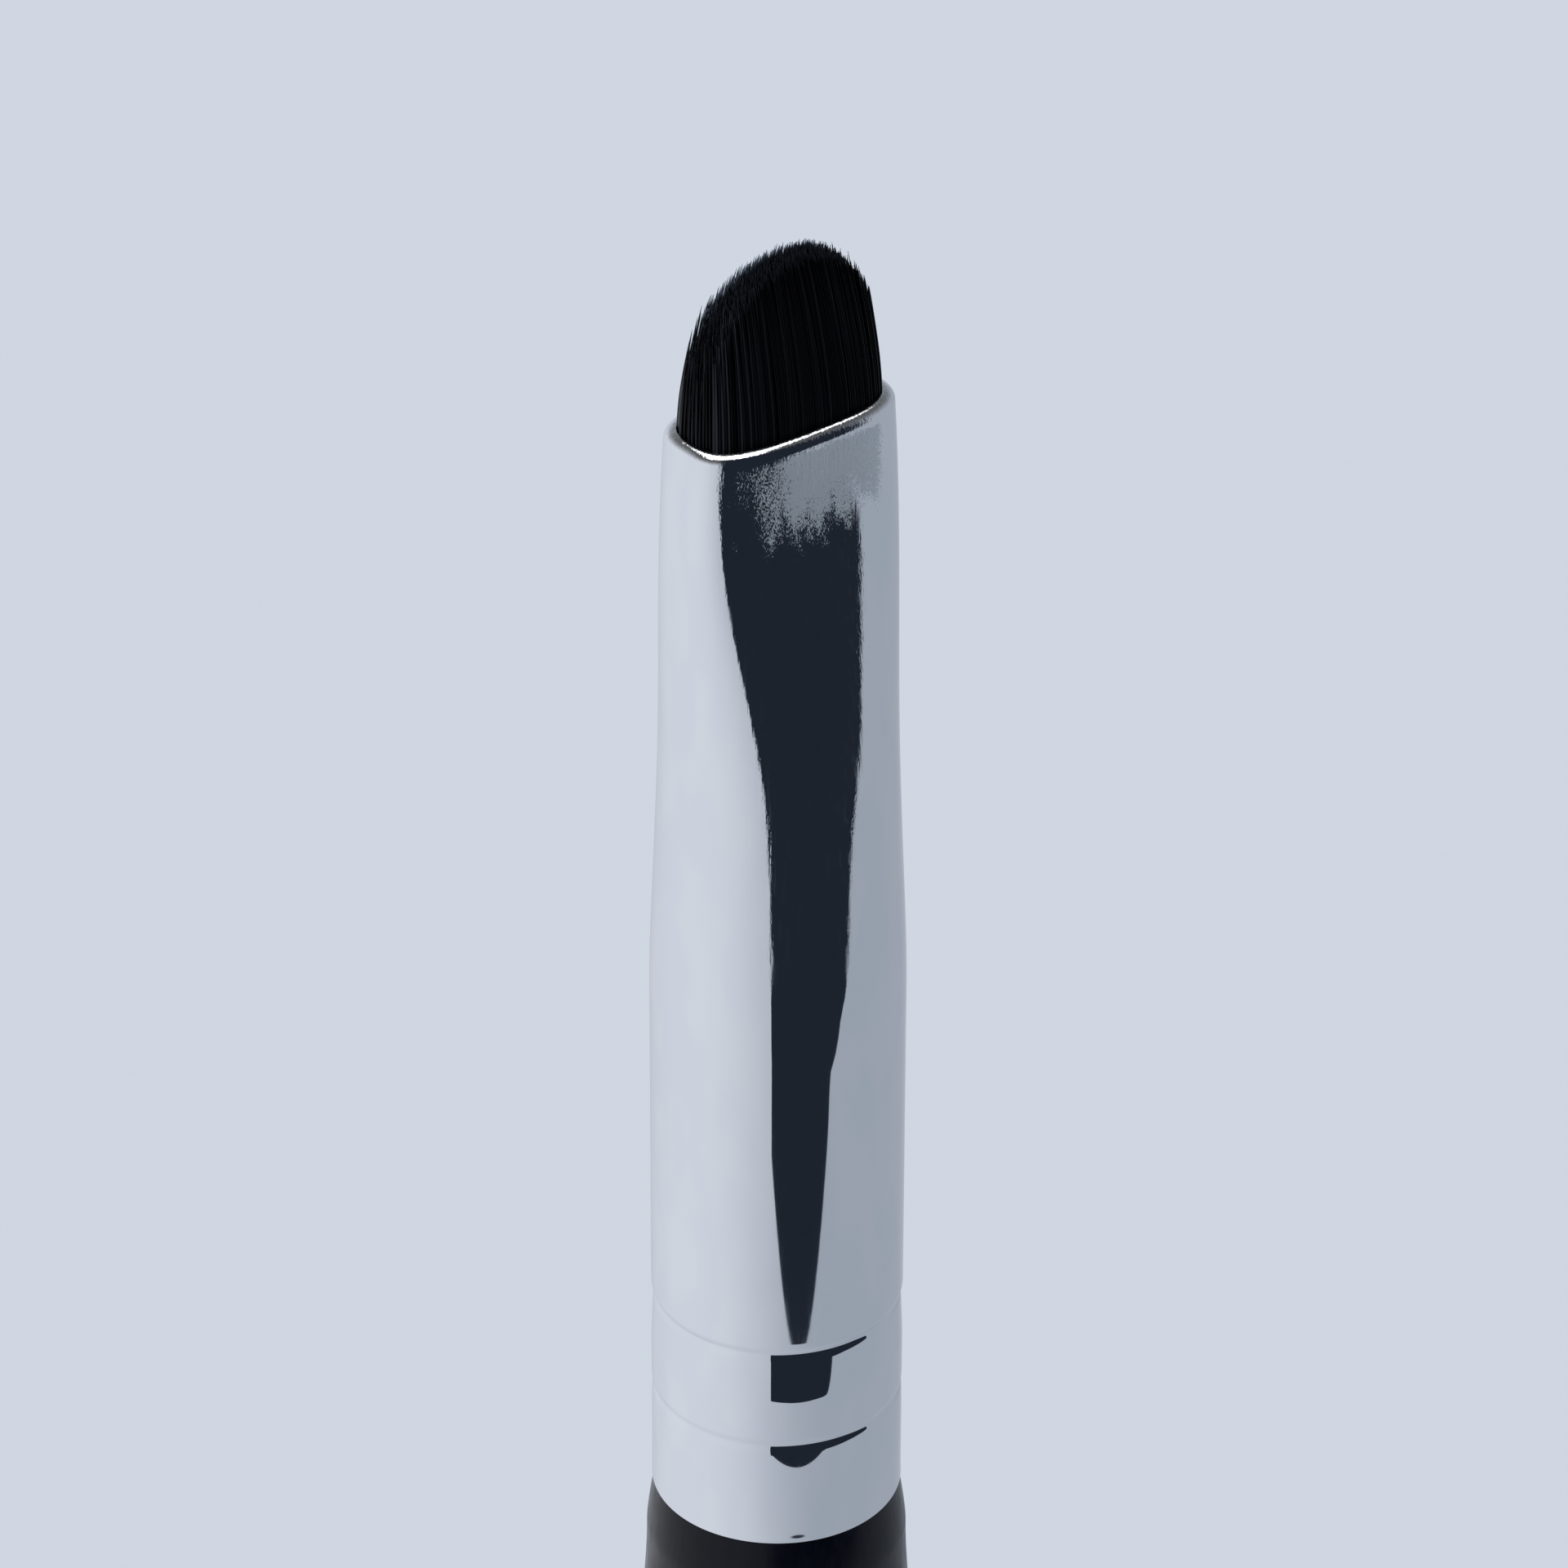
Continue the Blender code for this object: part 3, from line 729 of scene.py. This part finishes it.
def strands(name, points, look, tone_and_sheen, tip_backlight, share):
    """One mesh of closed tubes from an array of (strand, ring, side, xyz)."""
    count, rings, sides, _ = points.shape
    corner = np.arange(sides)
    lower = np.stack([corner, np.roll(corner, -1), np.roll(corner, -1) + sides, corner + sides], 1)
    side_faces = (lower[None] + np.arange(rings - 1)[:, None, None] * sides).reshape(-1, 4)
    faces = []
    for strand in range(count):
        base = strand * rings * sides
        faces += (side_faces + base).tolist()
        faces.append((base + corner[::-1]).tolist())
        faces.append((base + (rings - 1) * sides + corner).tolist())
    mesh = bpy.data.meshes.new(name)
    mesh.from_pydata(points.reshape(-1, 3).tolist(), [], faces)
    mesh.materials.append(look)
    mesh.shade_smooth()
    values = {
        "tone_and_sheen": np.repeat(tone_and_sheen, rings * sides),
        "tip_backlight": np.repeat(tip_backlight, rings * sides),
        "along": np.tile(np.repeat(share, sides), count),
    }
    for title, per_point in values.items():
        layer = mesh.attributes.new(title, "FLOAT", "POINT")
        layer.data.foreach_set("value", per_point.astype(np.float32))
    made = bpy.data.objects.new(name, mesh)
    bpy.context.scene.collection.objects.link(made)
    return made


# ---------------------------------------------------------------- studio

PALE = (0.63, 0.68, 0.76)  # backdrop, and the key light's colour
FLOOR_RADIUS = 30.0
FLOOR_GREY = (0.75, 0.75, 0.75)
KEY_STRENGTH = 1.26
KEY_SOFTNESS = math.radians(70)
KEY_TILT = (math.radians(28), math.radians(-22), 0)
FRONT = Vector((-math.sin(CAMERA_TURN), -math.cos(CAMERA_TURN), 0))
RIGHT = Vector((math.cos(CAMERA_TURN), -math.sin(CAMERA_TURN), 0))
# What the chrome reflects: a plain surround, lighter on the left and dimmer overhead, a dark card that
# stands on the floor in front, and a soft box overhead.
SURROUND_RADIUS = 12.0
LIT_SIDE = (0.75, 0.78, 0.84)
SHADE_SIDE = (0.38, 0.42, 0.48)
CEILING = (0.10, 0.10, 0.10)
SIDES_BLEND = (-1.0, 0.6)  # from the left to the right
CEILING_BLEND = (0.0, 0.8)  # from level to steeply up
CARD_COLOUR = (0.015, 0.02, 0.03)
CARD_DISTANCE = 0.22
CARD_LEFT_OF_MIDDLE = 0.02
CARD_WIDTH = 0.5
CARD_TURN = math.radians(20)  # its right end comes nearer
CARD_HEIGHT = 0.6
SOFT_BOX_COLOUR = (2.0, 2.0, 2.0)
SOFT_BOX_SIZE = 0.5
SOFT_BOX_HEIGHT = 0.6
SOFT_BOX_AHEAD = 0.2  # its front edge, from the brush's axis


def only_reflected(made):
    """Leaves a stage piece to reflections alone."""
    for ray in ("camera", "diffuse", "transmission", "volume_scatter", "shadow"):
        setattr(made, f"visible_{ray}", False)


def glowing(name):
    """A new material that only gives light, its nodes, and the socket of its colour."""
    look = bpy.data.materials.new(name)
    nodes = Nodes(look)
    nodes.tree.nodes.clear()
    glow = nodes.add("ShaderNodeEmission")
    sink = nodes.add("ShaderNodeOutputMaterial")
    nodes.tree.links.new(glow.outputs[0], sink.inputs["Surface"])
    look.cycles.emission_sampling = "NONE"
    return look, nodes, glow.inputs["Color"]


def panel(name, corner, along, up, colour):
    """A plain flat panel from one corner and its two sides."""
    mesh = bpy.data.meshes.new(name)
    corners = (corner, corner + along, corner + along + up, corner + up)
    mesh.from_pydata([tuple(point) for point in corners], [], [(0, 1, 2, 3)])
    look, nodes, socket = glowing(name)
    nodes.put((*colour, 1.0), socket)
    mesh.materials.append(look)
    made = bpy.data.objects.new(name, mesh)
    bpy.context.scene.collection.objects.link(made)
    only_reflected(made)


def studio_reflections():
    """The plain surround, the dark card and the soft box."""
    bpy.ops.mesh.primitive_uv_sphere_add(segments=64, ring_count=32, radius=SURROUND_RADIUS)
    made = bpy.context.object
    made.name = "studio_surround"
    look, nodes, socket = glowing("studio_surround")
    way = nodes.vector("NORMALIZE", nodes.add("ShaderNodeNewGeometry").outputs["Position"])
    aside = nodes.vector("DOT_PRODUCT", way, tuple(RIGHT))
    around = nodes.blend(nodes.step(aside, *SIDES_BLEND), LIT_SIDE, SHADE_SIDE)
    overhead = nodes.step(nodes.parts(way)[2], *CEILING_BLEND)
    nodes.put(nodes.blend(overhead, around, CEILING), socket)
    made.data.materials.append(look)
    only_reflected(made)
    foot = FRONT * CARD_DISTANCE - RIGHT * CARD_LEFT_OF_MIDDLE
    along = RIGHT * math.cos(CARD_TURN) - FRONT * math.sin(CARD_TURN)
    panel("dark_card", foot, along * CARD_WIDTH, Vector((0, 0, CARD_HEIGHT)), CARD_COLOUR)
    corner = Vector((0, 0, SOFT_BOX_HEIGHT)) - RIGHT * SOFT_BOX_SIZE / 2
    corner += FRONT * SOFT_BOX_AHEAD
    panel("soft_box", corner, RIGHT * SOFT_BOX_SIZE, -FRONT * SOFT_BOX_SIZE, SOFT_BOX_COLOUR)


def studio():
    """Pale floor and backdrop of one colour, a soft key light, and the camera."""
    bpy.ops.mesh.primitive_circle_add(vertices=96, radius=FLOOR_RADIUS, fill_type="NGON")
    floor = bpy.context.object
    floor.name = "studio_floor"
    floor.visible_glossy = False
    floor.data.materials.append(principled("studio_floor", FLOOR_GREY, 1.0, specular=0.0)[0])
    world = bpy.data.worlds.new("studio")
    world.use_nodes = True
    world.node_tree.nodes["Background"].inputs["Color"].default_value = (*PALE, 1.0)
    bpy.context.scene.world = world
    world.cycles_visibility.glossy = False
    key = bpy.data.objects.new("key_light", bpy.data.lights.new("key_light", "SUN"))
    key.data.energy = KEY_STRENGTH
    key.data.color = PALE
    key.data.angle = KEY_SOFTNESS
    key.rotation_euler = KEY_TILT
    key.visible_glossy = False
    bpy.context.scene.collection.objects.link(key)
    bpy.context.scene.view_settings.view_transform = "Standard"

    back = FRONT * math.cos(CAMERA_RISE) + Vector((0, 0, math.sin(CAMERA_RISE)))
    aim = Vector((0, 0, MOUTH_Z - AIM_BELOW_MOUTH)) + RIGHT * AIM_RIGHT
    camera = bpy.data.objects.new("camera", bpy.data.cameras.new("camera"))
    camera.location = aim + back * CAMERA_DISTANCE
    turn = (-back).to_track_quat("-Z", "Y") @ Quaternion((0, 0, 1), CAMERA_ROLL)
    camera.rotation_euler = turn.to_euler()
    camera.data.lens = CAMERA_LENS
    camera.data.clip_start = CAMERA_NEAREST
    bpy.context.scene.collection.objects.link(camera)
    bpy.context.scene.camera = camera


def finish_cad_nodes():
    """Materials of the CAD nodes that stay; the slot names beside them are not used."""
    looks = {
        "tenon_adhesive": (glue(), "joint_glue"),
        "epoxy_plug": (resin(), "setting_resin"),
        "binding_thread": (thread(), "waxed_thread"),
        "bristle_roots": (roots(), "bristle_filament"),
    }
    for name, (look, slot) in looks.items():
        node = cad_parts[name]
        node.data.materials.clear()
        node.data.materials.append(look)


make_ferrule(chrome())
make_handle(lacquer())
make_tuft(filament())
finish_cad_nodes()
studio_reflections()
studio()
